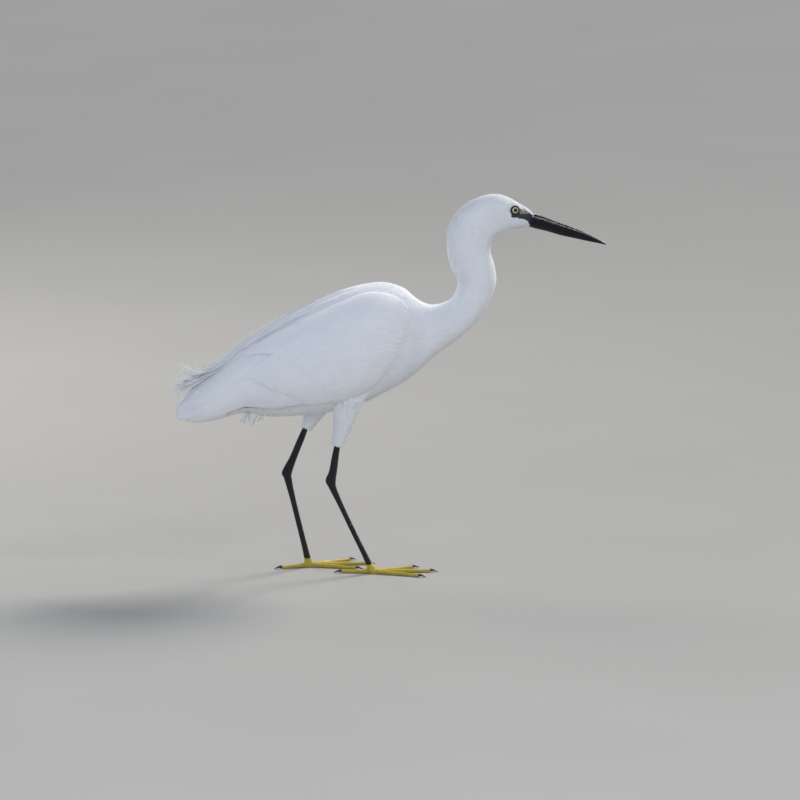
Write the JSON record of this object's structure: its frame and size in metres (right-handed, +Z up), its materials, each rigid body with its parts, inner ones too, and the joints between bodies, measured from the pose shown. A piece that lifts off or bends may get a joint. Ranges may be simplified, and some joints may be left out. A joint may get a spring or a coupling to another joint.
{
  "type": "little egret",
  "caption": "Little egret at life size, a still model that wades: white plumage with loose back plumes, black dagger bill and legs, yellow feet, neck in a loose S.",
  "frame": {"origin": "on the floor under the middle of the bird's length, halfway between its two sides", "axes": "+X towards the bill, +Y to the bird's left, +Z up"},
  "size_m": [0.463, 0.1064, 0.393],
  "materials": {
    "plumage": "matt white feathers",
    "bill_horn": "satin black horn",
    "bare_face": "smooth grey-olive bare skin of the face, dark at the gape",
    "eye": "glossy eye, pale yellow iris and black pupil",
    "leg_skin": "black scaled leg skin",
    "foot_skin": "yellow scaled toe skin",
    "claw_horn": "dark smooth horn"
  },
  "bodies": {
    "root": {"torso": "plumage", "neck_lower": "plumage", "neck_middle": "plumage", "neck_upper": "plumage", "head": "plumage", "tail": "plumage", "wing_left": "plumage", "wing_right": "plumage", "thigh_left": "plumage", "thigh_right": "plumage", "bill_upper": "bill_horn", "bill_lower": "bill_horn", "eye_left": "eye", "eye_right": "eye", "leg_left": "leg_skin", "leg_right": "leg_skin", "foot_left": "foot_skin", "foot_right": "foot_skin", "claw_left_middle": "claw_horn", "claw_left_inner": "claw_horn", "claw_left_outer": "claw_horn", "claw_left_hind": "claw_horn", "claw_right_middle": "claw_horn", "claw_right_inner": "claw_horn", "claw_right_outer": "claw_horn", "claw_right_hind": "claw_horn"}
  },
  "joints": []
}
